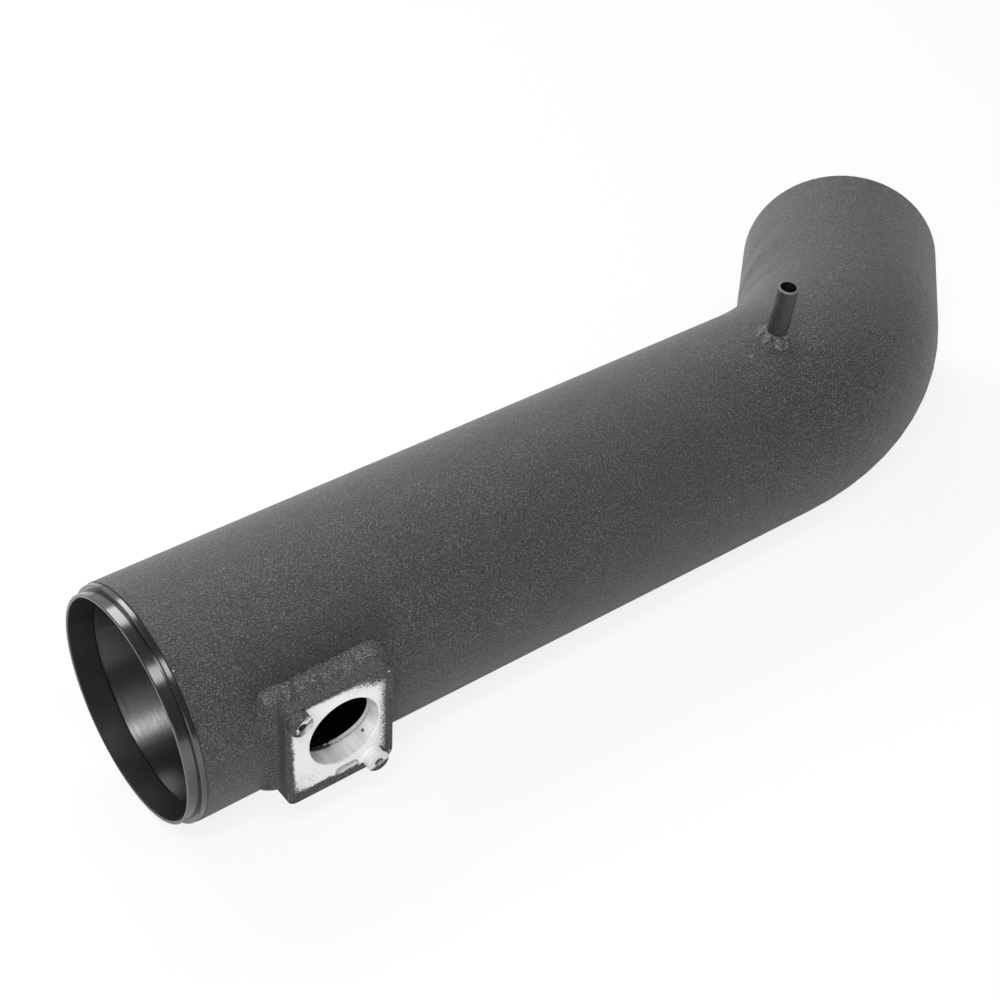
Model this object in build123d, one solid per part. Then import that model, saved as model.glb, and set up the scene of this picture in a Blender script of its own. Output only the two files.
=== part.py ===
from build123d import *
import math
import os

# Cold air intake pipe.
# Millimetres. The origin is the centre of the open mouth, on the front edge of the inlet ring.
# +X runs down the straight part of the tube, +Y is the side the tube bends to, +Z is up.
# The pipe lies on its side as it would on a floor, with the bend level.

os.makedirs("parts", exist_ok=True)

# Main tube
tube_dia = 88.9
tube_wall = 2.0
bend_start = 293.3
bend_radius = 109.6
bend_angle = 43.3
outlet_run = 60.8
tube_edge_break = 0.3

# Inlet ring
spigot_length = 4.2
shoulder_width = 2.2
shoulder_step = 0.3
ring_wall = 1.3
sleeve_depth = 3.9
sleeve_clearance = 0.05
ring_edge_break = 0.35
rear_bore_flare = 0.5

# Sensor flange, in its own flat frame: across runs along the tube, up runs round it
flange_position = 55.75
flange_clock = 4.3
flange_rise = 5.55
block_front = -23.0
block_rear = 19.8
block_bottom = -23.8
block_top = 20.85
block_corner_radius = 3.5
block_edge_break = 0.4
sensor_bore = 27.9
sensor_bore_edge = 0.3
boss_dia = 8.6
boss_height = 3.75
boss_edge_break = 0.4
upper_boss = (-18.6, 16.5)
lower_boss = (11.45, -19.1)
screw_hole = 3.3
screw_hole_depth = 9.0
pocket_width = 9.4
pocket_height = 4.2
pocket_depth = 1.5
pocket_centre = (0.65, -18.55)

# Weld round the flange block
weld_reach_front = 5.3
weld_reach_rear = 2.6
weld_reach_top = 2.4
weld_reach_bottom = 0.8
weld_rise = 2.7
weld_fall_top = 1.6
weld_fall_bottom = 3.6
weld_crown = 0.45
weld_overlap = 0.5
weld_corner_steps = 4
weld_side_steps = 6

# Hose nipple and its weld
nipple_position = 290.4
nipple_clock = 9.7
nipple_dia = 8.5
nipple_bore = 6.3
nipple_rise = 24.35
nipple_poke = 1.25
nipple_rim_break = 0.5
nipple_shank_dia = 8.0
nipple_hole_clearance = 0.05
nipple_weld_reach = 3.8
nipple_weld_rise = 3.6
nipple_weld_crown = 0.5
nipple_weld_toe = 0.3

# Sizes that follow from those above
tube_radius = tube_dia / 2
bore_radius = tube_radius - tube_wall
tube_start = spigot_length + shoulder_width
sleeve_end = tube_start + sleeve_depth
sleeve_radius = bore_radius - sleeve_clearance
ring_bore_radius = sleeve_radius - ring_wall
shoulder_radius = tube_radius - shoulder_step
flange_face_height = tube_radius + flange_rise
nipple_top = tube_radius + nipple_rise
nipple_inner_end = bore_radius - nipple_poke
nipple_shoulder = tube_radius + nipple_weld_rise
quarter_turn = math.pi / 2
bend_rad = math.radians(bend_angle)


# Centre line of the pipe
run_in = Line((tube_start, 0, 0), (bend_start, 0, 0))
bend_end = (
    bend_start + bend_radius * math.sin(bend_rad),
    bend_radius * (1 - math.cos(bend_rad)),
    0,
)
bend_line = TangentArc((bend_start, 0, 0), bend_end, tangent=(1, 0, 0))
outlet_direction = Vector(math.cos(bend_rad), math.sin(bend_rad), 0)
outlet_end = Vector(*bend_end) + outlet_direction * outlet_run
run_out = Line(bend_end, outlet_end)
centre_line = run_in + bend_line + run_out


def round_rod(radius, low, high, frame):
    """Solid rod on the Z axis of a plane, between two heights above its origin."""
    rod = Cylinder(radius, high - low, align=(Align.CENTER, Align.CENTER, Align.MIN))
    return frame * Pos(0, 0, low) * rod


def swept_rod(radius):
    """Solid rod of the given radius along the whole centre line."""
    section = Plane((tube_start, 0, 0), x_dir=(0, 1, 0), z_dir=(1, 0, 0)) * Circle(radius)
    return sweep(section, path=centre_line)


# Frame of the sensor flange: local X along the tube, local Y up round it, local Z outward
flange_turn = math.radians(flange_clock)
flange_out = (0, -math.cos(flange_turn), -math.sin(flange_turn))
flange_frame = Plane((flange_position, 0, 0), x_dir=(1, 0, 0), z_dir=flange_out)

# Frame of the nipple: local Z runs outward from the centre of the tube
nipple_turn = math.radians(nipple_clock)
nipple_out = (0, -math.sin(nipple_turn), math.cos(nipple_turn))
nipple_frame = Plane((nipple_position, 0, 0), x_dir=(1, 0, 0), z_dir=nipple_out)


# Main tube
saddle = swept_rod(tube_radius)
mouth_edge = saddle.edges().filter_by(GeomType.CIRCLE).group_by(Axis.X)[0]
tube_outside = chamfer(mouth_edge, tube_edge_break)
tube_inside = swept_rod(bore_radius)
sensor_cut = round_rod(sensor_bore / 2, bore_radius / 2, flange_face_height + boss_height, flange_frame)
nipple_hole_radius = nipple_shank_dia / 2 + nipple_hole_clearance
nipple_cut = round_rod(nipple_hole_radius, bore_radius / 2, nipple_top, nipple_frame)
main_tube = tube_outside - tube_inside - sensor_cut - nipple_cut


# Inlet ring, turned about the tube axis
def ring_half_section():
    """Outline of the ring wall, as distance along the tube and radius."""
    inner = ring_bore_radius
    shoulder = shoulder_radius
    points = [
        (ring_edge_break, inner),
        (0, inner + ring_edge_break),
        (0, sleeve_radius - ring_edge_break),
        (ring_edge_break, sleeve_radius),
        (spigot_length, sleeve_radius),
        (spigot_length, shoulder - ring_edge_break),
        (spigot_length + ring_edge_break, shoulder),
        (tube_start - ring_edge_break, shoulder),
        (tube_start, shoulder - ring_edge_break),
        (tube_start, sleeve_radius),
        (sleeve_end, sleeve_radius),
        (sleeve_end, inner + rear_bore_flare),
        (sleeve_end - rear_bore_flare, inner),
    ]
    return make_face(Polyline(*points, close=True))


inlet_ring = revolve(ring_half_section(), axis=Axis.X)


# Sensor flange
block_width = block_rear - block_front
block_tall = block_top - block_bottom
block_middle = ((block_rear + block_front) / 2, (block_top + block_bottom) / 2)
block_outline = Pos(*block_middle) * RectangleRounded(block_width, block_tall, block_corner_radius)
block = extrude(block_outline, flange_face_height)
block = chamfer(block.faces().sort_by(Axis.Z)[-1].edges(), block_edge_break)
for place in (upper_boss, lower_boss):
    boss = Pos(*place, flange_face_height) * Cylinder(
        boss_dia / 2, boss_height, align=(Align.CENTER, Align.CENTER, Align.MIN)
    )
    boss = chamfer(boss.faces().sort_by(Axis.Z)[-1].edges(), boss_edge_break)
    root = Pos(*place, bore_radius) * Cylinder(
        boss_dia / 2, flange_face_height - bore_radius, align=(Align.CENTER, Align.CENTER, Align.MIN)
    )
    block += boss + (root & block)
boss_top = flange_face_height + boss_height
for place in (upper_boss, lower_boss):
    block -= Pos(*place, boss_top - screw_hole_depth) * Cylinder(
        screw_hole / 2, screw_hole_depth, align=(Align.CENTER, Align.CENTER, Align.MIN)
    )
block -= Cylinder(sensor_bore / 2, boss_top, align=(Align.CENTER, Align.CENTER, Align.MIN))
rim = Pos(0, 0, flange_face_height - sensor_bore_edge) * Cone(
    sensor_bore / 2, sensor_bore / 2 + sensor_bore_edge, sensor_bore_edge,
    align=(Align.CENTER, Align.CENTER, Align.MIN),
)
block -= rim
pocket_outline = Pos(*pocket_centre, flange_face_height) * SlotOverall(pocket_width, pocket_height)
block -= extrude(pocket_outline, -pocket_depth)
sensor_flange = flange_frame * block - saddle


# Flange weld: ruled faces run round the block foot, then the tube and the block trim them
def weld_stations():
    """Stations round the block in eight runs, corner and side in turn."""
    half_x = block_width / 2 - block_corner_radius
    half_y = block_tall / 2 - block_corner_radius
    signs = [(1, 1), (-1, 1), (-1, -1), (1, -1)]
    runs = []
    for index, (sx, sy) in enumerate(signs):
        corner = []
        for step in range(weld_corner_steps + 1):
            angle = quarter_turn * (index + step / weld_corner_steps)
            corner.append((sx * half_x, sy * half_y, math.cos(angle), math.sin(angle)))
        runs.append(corner)
        nx, ny = signs[(index + 1) % 4]
        angle = quarter_turn * (index + 1)
        side = []
        for step in range(weld_side_steps + 1):
            t = step / weld_side_steps
            x = half_x * (sx + (nx - sx) * t)
            y = half_y * (sy + (ny - sy) * t)
            side.append((x, y, math.cos(angle), math.sin(angle)))
        runs.append(side)
    return runs


def weld_points(station):
    """Section of the weld at one station: outer edge, crown, block edge and a point inside."""
    x, y, dx, dy = station
    reach_across = weld_reach_rear if dx > 0 else weld_reach_front
    reach_up = weld_reach_top if dy > 0 else weld_reach_bottom
    reach = math.hypot(reach_across * dx, reach_up * dy)
    if dy < 0:
        below = block_corner_radius + weld_reach_bottom
        reach = min(reach, below / -dy - block_corner_radius)
    outer = block_corner_radius + reach
    inner = block_corner_radius - weld_overlap
    centre_x, centre_y = block_middle

    def at(radius, height):
        return (centre_x + x + dx * radius, centre_y + y + dy * radius, height)

    def skin(radius):
        up = centre_y + y + dy * radius
        return math.sqrt(tube_radius**2 - up**2)

    up = centre_y + y + dy * block_corner_radius
    fall = weld_fall_top if up > 0 else weld_fall_bottom
    rise = tube_radius + weld_rise - fall * (up / block_top) ** 4
    low = at(outer, skin(outer) - weld_overlap)
    high = at(inner, rise)
    crown_radius = (outer + inner) / 2 + weld_crown * math.sqrt(0.5)
    crown_height = (low[2] + high[2]) / 2 + weld_crown * math.sqrt(0.5)
    crown = at(crown_radius, crown_height)
    root = at(inner, skin(inner) - 2 * weld_overlap)
    return low, crown, high, root


def weld_ring():
    """Closed ring through the weld sections of all stations."""
    loops = [[], [], [], []]
    for run in weld_stations():
        sections = [weld_points(station) for station in run]
        for loop, points in zip(loops, zip(*sections)):
            loop.append(Spline(*points))
    faces = []
    for index in range(4):
        first = loops[index]
        second = loops[(index + 1) % 4]
        for a, b in zip(first, second):
            faces.append(Face.make_surface_from_curves(a, b))
    return Solid(Shell(faces))


block_foot = flange_frame * extrude(block_outline, bore_radius)
flange_weld = flange_frame * weld_ring() - saddle - sensor_flange - block_foot


# Hose nipple: a thinner shank passes through the tube wall and the weld
nipple_radius = nipple_dia / 2
shank_radius = nipple_shank_dia / 2
nipple_body = round_rod(nipple_radius, nipple_shoulder, nipple_top, Plane.XY)
nipple_body = chamfer(nipple_body.edges().sort_by(Axis.Z)[-1], nipple_rim_break)
nipple_body += round_rod(shank_radius, nipple_inner_end, nipple_shoulder, Plane.XY)
hose_nipple = nipple_frame * nipple_body
hose_nipple -= round_rod(nipple_bore / 2, bore_radius / 2, nipple_top, nipple_frame)


# Nipple weld, turned about the nipple and trimmed by the tube and the nipple
weld_edge = nipple_radius + nipple_weld_reach
weld_crown_point = (
    (nipple_radius + weld_edge) / 2 + nipple_weld_crown,
    (nipple_shoulder + tube_radius) / 2 + nipple_weld_crown,
)
weld_section = make_face(
    Polyline(
        (0, bore_radius),
        (weld_edge, bore_radius),
        (weld_edge, tube_radius - nipple_weld_toe),
        weld_crown_point,
        (nipple_radius, nipple_shoulder),
        (0, nipple_shoulder),
        close=True,
    )
)
nipple_weld = nipple_frame * revolve(Plane.XZ * weld_section, axis=Axis.Z)
nipple_weld -= saddle
nipple_weld -= round_rod(shank_radius, bore_radius / 2, nipple_shoulder, nipple_frame)


nodes = {
    "main_tube": main_tube,
    "inlet_ring": inlet_ring,
    "sensor_flange": sensor_flange,
    "flange_weld": flange_weld,
    "hose_nipple": hose_nipple,
    "nipple_weld": nipple_weld,
}
for name, shape in nodes.items():
    solids = shape.solids()
    print(name, "solids", len(solids), "volume", round(sum(solid.volume for solid in solids), 1))
    export_step(solids[0] if len(solids) == 1 else Compound(solids), f"parts/{name}.step")
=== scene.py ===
import math
import bmesh
import bpy
from mathutils import Matrix, Vector, noise


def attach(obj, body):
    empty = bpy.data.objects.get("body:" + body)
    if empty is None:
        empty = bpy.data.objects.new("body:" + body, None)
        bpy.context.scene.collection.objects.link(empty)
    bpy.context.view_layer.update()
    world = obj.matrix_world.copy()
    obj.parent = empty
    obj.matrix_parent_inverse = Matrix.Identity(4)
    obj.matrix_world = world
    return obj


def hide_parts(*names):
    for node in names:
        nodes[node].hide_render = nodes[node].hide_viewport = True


# Looks of the cold air intake pipe, in metres, in the frame of its solids:
# the origin is the centre of the open mouth, +X runs down the straight tube and +Z is up.

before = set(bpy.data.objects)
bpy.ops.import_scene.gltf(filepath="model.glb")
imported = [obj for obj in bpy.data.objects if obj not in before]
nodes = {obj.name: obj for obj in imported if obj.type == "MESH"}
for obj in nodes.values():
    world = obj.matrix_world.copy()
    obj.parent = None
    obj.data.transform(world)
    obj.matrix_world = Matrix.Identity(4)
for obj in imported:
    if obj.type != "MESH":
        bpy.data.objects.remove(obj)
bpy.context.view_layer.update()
MM = 0.001

# Main tube
TUBE_RADIUS = 44.45 * MM
BEND_START = 293.3 * MM
BEND_RADIUS = 109.6 * MM
BEND_ANGLE = math.radians(43.3)

# Sensor flange: across runs along the tube, up runs round it, out leaves it
FLANGE_POSITION = 55.75 * MM
FLANGE_CLOCK = math.radians(4.3)
FACE_HEIGHT = 50.0 * MM
BLOCK_LEFT = -23.0 * MM
BLOCK_RIGHT = 19.8 * MM
BLOCK_BOTTOM = -23.8 * MM
BLOCK_TOP = 20.85 * MM
BLOCK_CORNER = 3.5 * MM
SENSOR_BORE_RADIUS = 13.95 * MM
BOSS_RADIUS = 4.3 * MM
BOSS_HEIGHT = 3.75 * MM
UPPER_BOSS = (-18.6 * MM, 16.5 * MM)
LOWER_BOSS = (11.45 * MM, -19.1 * MM)
POCKET_CENTRE = (0.65 * MM, -18.55 * MM)
POCKET_HALF = 4.65 * MM
POCKET_RADIUS = 2.1 * MM

# Weld round the flange
WELD_FRONT = 5.3 * MM
WELD_REAR = 2.6 * MM
WELD_TOP = 2.4 * MM
WELD_BOTTOM = 0.8 * MM
WELD_RISE = 2.7 * MM
WELD_FALL_TOP = 1.6 * MM
WELD_FALL_BOTTOM = 3.6 * MM
WELD_CROWN = 0.45 * MM
WELD_OVERLAP = 0.5 * MM

# Hose nipple
NIPPLE_POSITION = 290.4 * MM
NIPPLE_CLOCK = math.radians(9.7)
NIPPLE_RADIUS = 4.25 * MM
NIPPLE_TOP = 68.8 * MM
NIPPLE_WELD_RISE = 3.6 * MM
NIPPLE_WELD_REACH = 3.8 * MM

flange_out = Vector((0, -math.cos(FLANGE_CLOCK), -math.sin(FLANGE_CLOCK)))
flange_up = Vector((0, -math.sin(FLANGE_CLOCK), math.cos(FLANGE_CLOCK)))
flange_frame = Matrix((
    (1, flange_up.x, flange_out.x, FLANGE_POSITION),
    (0, flange_up.y, flange_out.y, 0),
    (0, flange_up.z, flange_out.z, 0),
    (0, 0, 0, 1),
))
nipple_out = Vector((0, -math.sin(NIPPLE_CLOCK), math.cos(NIPPLE_CLOCK)))
nipple_side = Vector((0, math.cos(NIPPLE_CLOCK), math.sin(NIPPLE_CLOCK)))
nipple_frame = Matrix((
    (1, nipple_side.x, nipple_out.x, NIPPLE_POSITION),
    (0, nipple_side.y, nipple_out.y, 0),
    (0, nipple_side.z, nipple_out.z, 0),
    (0, 0, 0, 1),
))


# Camera of the photograph
CAMERA_AZIMUTH = math.radians(37.2274)
CAMERA_ELEVATION = math.radians(36.8016)
CAMERA_ROLL = math.radians(0.1092)
CAMERA_DISTANCE = 709.28 * MM
CAMERA_AIM = Vector((0.170, 0, 0))
AIM_PIXELS_RIGHT = 23.06
AIM_PIXELS_DOWN = 25.51
FOCAL_PIXELS = 1856.89
IMAGE_PIXELS = 1000
SENSOR_WIDTH = 36.0


def make_camera():
    level = math.cos(CAMERA_ELEVATION)
    forward = Vector((
        math.sin(CAMERA_AZIMUTH) * level,
        math.cos(CAMERA_AZIMUTH) * level,
        -math.sin(CAMERA_ELEVATION),
    ))
    right = forward.cross(Vector((0, 0, 1))).normalized()
    up = right.cross(forward)
    turned_right = right * math.cos(CAMERA_ROLL) + up * math.sin(CAMERA_ROLL)
    turned_up = up * math.cos(CAMERA_ROLL) - right * math.sin(CAMERA_ROLL)
    per_pixel = CAMERA_DISTANCE / FOCAL_PIXELS
    place = CAMERA_AIM - forward * CAMERA_DISTANCE
    place -= turned_right * AIM_PIXELS_RIGHT * per_pixel
    place += turned_up * AIM_PIXELS_DOWN * per_pixel
    data = bpy.data.cameras.new("photo_camera")
    data.sensor_width = SENSOR_WIDTH
    data.lens = FOCAL_PIXELS * SENSOR_WIDTH / IMAGE_PIXELS
    camera = bpy.data.objects.new("photo_camera", data)
    turn = Matrix((turned_right, turned_up, -forward)).transposed()
    camera.matrix_world = Matrix.Translation(place) @ turn.to_4x4()
    bpy.context.scene.collection.objects.link(camera)
    bpy.context.scene.camera = camera


# Below, a noise is its scale, detail and roughness, edges are where a mask is 0 and where it is 1,
# and a pair of greys is mixed from the first to the second.

# Textured coat
SHEEN = 0.21
SHEEN_ROUGH = 0.35
COAT_ROUGH = 0.5
GRAIN_HEIGHT = 0.5 * MM
GRAIN_NOISE = (2600.0, 2.0, 0.7)
GRAIN_EDGES = (0.40, 0.62)
GRAIN_GREYS = (0.003, 0.053)
# pale specks of the coat: painted glints on its grains
GLINT_SPECK_NOISE = (2500.0, 1.0, 0.6)
GLINT_SPECK_EDGES = (0.54, 0.67)
GLINT_SPECK_GREYS = (0.10, 0.25)
PATCH_NOISE = (70.0, 3.0, 0.6)
WRINKLE_NOISE = (1700.0, 2.0, 0.6)
WAVE_NOISE = (120.0, 2.0, 0.5)
WAVE_SHARE = 0.8

# Main tube: where its coated outside starts, and where the coat's grain turns coarser;
# the place is scaled down for the coarser grain
WALL_EDGES = (TUBE_RADIUS - 0.6 * MM, TUBE_RADIUS - 0.1 * MM)
FAR_GRAIN = (0.78, 0.78, 0.78)
FAR_EDGES = (150 * MM, 300 * MM)

# Gloss inside of the tube, with fine marks round it that lean to the mouth
INNER_ROUGH = 0.26
INNER_TILT = 1.9
INNER_LEAN = -0.32
INNER_METAL = 0.85
INNER_GREYS = (0.060, 0.086)
MARK_NOISE = (3400.0, 5.0, 0.95)
SMEAR_NOISE = (220.0, 3.0, 0.6)

# Painted shade: a darker copy of the coat on the tube above the block
SHADE_MIDDLE = -1.6 * MM
SHADE_HALF = 22 * MM
SHADE_UP = BLOCK_TOP + 5 * MM
SHADE_EDGES = (11 * MM, 2 * MM)
SHADE_DEPTH = 10 * MM
SHADE_SHARE = 0.55
SHADE_LEVEL = 0.45

# Scuff by the nipple, and chips at the mouth with their radius
SCUFF = (273.2 * MM, -11.7 * MM, 42.88 * MM)
SCUFF_STRETCH = (0.55, 1.0, 1.0)
SCUFF_NOISE = (900.0, 2.0, 0.6)
SCUFF_FRAY = 2.6 * MM
SCUFF_EDGES = (2.1 * MM, 1.8 * MM)
SCUFF_GREY = 0.16
CHIPS = (
    ((7.0 * MM, -28.0 * MM, 34.2 * MM), 0.32 * MM),
    ((6.9 * MM, -31.5 * MM, 31.0 * MM), 0.26 * MM),
)
CHIP_SOFT = 0.1 * MM
CHIP_GREY = 0.75

# Cut rim of the sensor bore through the tube's wall: bare on one side, crumbs of coat on the other
FUZZ_NOISE = (1100.0, 3.0, 0.7)
CUT_SLACK = 0.1 * MM
CUT_DEPTH = 20 * MM
CUT_FRAY = 12 * MM
CUT_EDGES = (-1.5 * MM, 1.5 * MM)
CUT_GREYS = (0.05, 0.70)

# Soft creases on the inner side of the bend
CREASE_PITCH = math.radians(17)
CREASE_DEPTH = 0.5 * MM
CREASE_SIDE = (22 * MM, 40 * MM)
CREASE_FADE_IN = (math.radians(26), math.radians(40))
CREASE_FADE_OUT = (math.radians(74), math.radians(60))

# Coat of the two welds; the flange weld has painted light on its top above the block and painted
# shade in the groove
WELD_LIT_TOP_LEVEL = 1.75
WANDER_NOISE = (260.0, 2.0, 0.5)
WANDER_REACH = 5 * MM
LIT_TOP_EDGES = (BLOCK_TOP + 2 * MM, BLOCK_TOP + 4.5 * MM)
GROOVE_SIDE = (BLOCK_LEFT - 1.4 * MM, BLOCK_LEFT - 0.3 * MM)
GROOVE_TOP = (BLOCK_TOP, BLOCK_TOP - 4 * MM)
GROOVE_SHADE_SHARE = 0.75
GROOVE_SHADE_GREY = 0.010
LUMP_NOISE = (420.0, 2.0, 0.6)
LUMP_EDGES = (0.35, 0.60)
LUMP_LEVELS = (0.9, 2.2)

# Gloss ring, with turned marks
RING_BORE = 41.1 * MM
RING_SLACK = 0.12 * MM
RING_MARKS = 0.010 * MM
RING_MARK_NOISE = (2200.0, 3.0, 0.6)
RING_SMEAR_NOISE = (120.0, 3.0, 0.6)
RING_SMEAR_SHARE = 0.5
RING_GREYS = (0.010, 0.020)
RING_INNER_ROUGH = (0.12, 0.22)
RING_OUTER_ROUGH = (0.26, 0.44)
GLOSS_IOR = 1.9

# Satin coat of the nipple, with a painted highlight on its rim and painted shade in its bore
GRIT_NOISE = (1500.0, 2.0, 0.6)
GRIT_EDGES = (0.44, 0.66)
GRIT_SHARE = 0.6
GRIT_GREY = 0.085
BLOTCH_NOISE = (300.0, 2.0, 0.5)
BLOTCH_GREYS = (0.020, 0.036)
BLOTCH_SHARE = 1.5
RIM_TOP = (NIPPLE_TOP - 0.7 * MM, NIPPLE_TOP - 0.1 * MM)
RIM_SIDE = (3.2 * MM, 3.5 * MM)
RIM_HIGHLIGHT_GREY = 0.15
NIPPLE_BORE_SHADE_EDGES = (3.3 * MM, 3.2 * MM)
NIPPLE_BORE_SHADE_GREY = 0.008
NIPPLE_NOISE = (1100.0, 2.0, 0.5)
NIPPLE_ROUGH = 0.44
NIPPLE_HEIGHT = 0.12 * MM

# Bare patch on the block's face: how its edges fray, where its sides are and how soft they are
SWAY_NOISE = (120.0, 2.0, 0.5)
DUST_NOISE = (2300.0, 2.0, 0.8)
FUZZ_REACH = 1.2 * MM
SWAY_REACH = 1.1 * MM
DUST_REACH = 7.0 * MM
PATCH_LEFT = -20.5 * MM
PATCH_LEFT_SLANT = 0.026
PATCH_LOW = -18.5 * MM
PATCH_LOW_DROP = 1.3 * MM
PATCH_LOW_EDGES = (-8 * MM, 0.0)
PATCH_RIGHT = 15.6 * MM
PATCH_TOP = 19.3 * MM
PATCH_SLOPE = 19.4 * MM
PATCH_SLOPE_TURN = (-0.383, -0.923)
PATCH_CORNER = 25.6 * MM
PATCH_STOP = (16.9 * MM, 16.1 * MM)
SOFT_LOW = 0.6 * MM
SOFT_TOP = 0.8 * MM
SOFT_RIGHT = 0.9 * MM
DIAGONAL = 0.7071

# Block: face, pocket and small spots, each spot with its radius and grey
FACE_EDGES = (FACE_HEIGHT - 1.7 * MM, FACE_HEIGHT - 1.6 * MM)
FACE_RIGHT = BLOCK_RIGHT - 0.3 * MM
POCKET_SLACK = 0.06 * MM
POCKET_FLOOR = FACE_HEIGHT - 3 * MM
POCKET_RIM = FACE_HEIGHT - 0.03 * MM
# painted shade: the pocket's floor darkens towards its upper wall
POCKET_SHADE_EDGES = (-1.6 * MM, 0.6 * MM)
POCKET_SHADE_GREYS = (0.80, 0.36)
LIP_FRAY = 1.6 * MM
LIP_EDGES = (FACE_HEIGHT - 0.7 * MM, FACE_HEIGHT - 0.4 * MM)
LIP_LOW = -1.2 * MM
FACE_SPOTS = (
    ((17.7 * MM, 18.5 * MM, 0.0), 0.35 * MM, 0.8),
    ((18.3 * MM, -21.0 * MM, 0.0), 0.35 * MM, 0.8),
    ((18.5 * MM, 4.2 * MM, 0.0), 0.62 * MM, 0.01),
)
FACE_SPOT_SOFT = 0.12 * MM

# Bosses: the upper one is coated but for its worn end, the lower one bare but for parts of it.
# Toward and along are directions on the upper boss, towards its worn side and along it.
BOSS_EDGES = (BOSS_RADIUS + 0.08 * MM, BOSS_RADIUS + 0.02 * MM)
RAISED_EDGES = (FACE_HEIGHT + 0.05 * MM, FACE_HEIGHT + 0.15 * MM)
END_EDGES = (FACE_HEIGHT + BOSS_HEIGHT - 0.45 * MM, FACE_HEIGHT + BOSS_HEIGHT - 0.3 * MM)
WEAR_TOWARD = (0.5, -0.866)
WEAR_ALONG = (0.866, 0.5)
STREAK_NOISE = (520.0, 2.0, 0.6)
STREAK_STRETCH = 0.30
STREAK_REACH = 5 * MM
WEAR_EDGES = (-2.6 * MM, -1.8 * MM)
WEAR_FRAY = 2 * MM
WEAR_START = (-2.6 * MM, -2.1 * MM)
WEAR_GREY_EDGES = (0.42, 0.58)
WEAR_GREYS = (0.14, 0.78)
LOWER_SLANT = -0.25
LOWER_FRAY = 1.2 * MM
LOWER_EDGES = (-1.5 * MM, -0.7 * MM)
LOWER_SIDE_FRAY = 1.0 * MM
LOWER_SIDE_EDGES = (-2.6 * MM, -1.6 * MM)
LOWER_GREY = 0.76
HOLE_EDGES = (1.75 * MM, 1.65 * MM)
# painted shade: the screw hole darkens towards its upper side
HOLE_SHADE_EDGES = (-1.3 * MM, 0.9 * MM)
HOLE_SHADE_GREYS = (0.50, 0.07)

# Tooled bore of the block
BORE_SLACK = 0.32 * MM
BAND_NOISE = (420.0, 3.0, 0.6)
BAND_ROUND = 5 * MM
BAND_STRETCH = 0.12
BAND_EDGES = (0.3, 0.7)
BAND_GREYS = (0.62, 0.95)
BAND_RELIEF = 0.3
# painted shade: the bore darkens towards its inner end
BORE_SHADE_LINE = 40.9 * MM
BORE_SHADE_FRAY = 1.6 * MM
BORE_SHADE_EDGES = (BORE_SHADE_LINE + 0.6 * MM, BORE_SHADE_LINE - 0.4 * MM)
BORE_SHADE_GREY = 0.10
BORE_SPOT = (10.1 * MM, -9.6 * MM, 45.5 * MM)
BORE_SPOT_EDGES = (0.8 * MM, 0.45 * MM)
BORE_SPOT_GREY = 0.05

# Blasted bare metal, with pits and with crumbs of coat near its lower left corner
BARE_METAL = 0.25
BLAST_NOISE = (500.0, 4.0, 0.6)
BLAST_GREYS = (0.90, 0.96)
BLAST_ROUGH = (0.40, 0.58)
PIT_NOISE = (1300.0, 1.0, 0.5)
PIT_EDGES = (0.28, 0.24)
PIT_SHARE = 0.8
PIT_GREY = 0.30
CRUMB_CORNER = (-17 * MM, -17 * MM)
CRUMB_REACH = (8 * MM, 3 * MM)
CRUMB_NOISE = (2100.0, 1.0, 0.5)
CRUMB_EDGES = (0.40, 0.34)
CRUMB_SHARE = 0.7
CRUMB_GREY = 0.20
RELIEF_NOISE = (1400.0, 3.0, 0.6)
RELIEF_SHARE = 0.22

# Studio
FLOOR_SIZE = 6.0
FLOOR_COLOUR = (0.93, 0.93, 0.93, 1)
FLOOR_GLOW = 0.85
WORLD_LEVEL = 0.08
CEILING_LEVEL = 0.12
SWEEP_LEVEL = 0.8
SWEEP_TOWARD = (0.35, 0.94, 0.0)
SWEEP_EDGES = (-0.15, 0.35)
CEILING_EDGES = (0.40, 0.75)

# Lamps: place, aim, size and power
LAMPS = {
    "strip_above": ((-0.05, -0.60, 1.12), (-0.05, 0, 0), (1.3, 0.34), 6.7),
    "fill_front": ((-1.0, -0.8, 0.75), (0.03, 0, 0), (0.7, 0.7), 8.5),
    "box_mouth": ((-0.40, -0.42, 1.05), (0.02, 0, 0), (0.30, 0.22), 3.2),
    "soft_back": ((0.25, 1.0, 1.1), (0.2, 0, 0), (1.4, 0.7), 16.5),
}

# Weld beads
SECTION_STEPS = 14
STATION_PITCH = 0.32 * MM
CORNER_STEPS = 20
CORNER_SPARE = 1.5 * MM
BEAD_ROOT = 1.0 * MM
LEVEL_SINE = 0.001

# Flange bead: its outer edge sways, its top is lumpy, its front is rippled and one lump is big.
# A roughness is a scale and a share. Edge and bead noise are a scale along the run and a fixed
# place in the noise, where the bead's goes with the section by its second value. Top shares are
# those of bead, crest and roughness, front shares those of fine ripple and roughness.
EDGE_NOISE = (170, 3.1, 0.4)
EDGE_SWAY = 0.35
EDGE_SWAY_TOP = 0.45
EDGE_PULL_TOP = 0.15
THIN_REACH = 1.5 * MM
SWELL_STRETCH = 1.15
SWELL_START = 0.04
SWELL_POWER = 0.7
ROUGH_COARSE = (420, 0.22)
ROUGH_FINE = (1100, 0.12)
BEAD_NOISE = (230, 1.5, 7.0)
BEAD_SHARE = 0.5
TOP_PITCH = 4.6 * MM
TOP_BOW = 1.2 * MM
FRONT_PITCH = 0.95 * MM
FRONT_BOW = 1.6 * MM
RIPPLE_MEAN = 0.6
TOP_SHARES = (1.1, 0.5, 1.5)
FRONT_SHARES = (0.55, 0.3)
BIG_LUMP_ANGLE = math.radians(128)
BIG_LUMP_SPREAD = 0.42
BIG_LUMP_SHARE = 1.5

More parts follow.
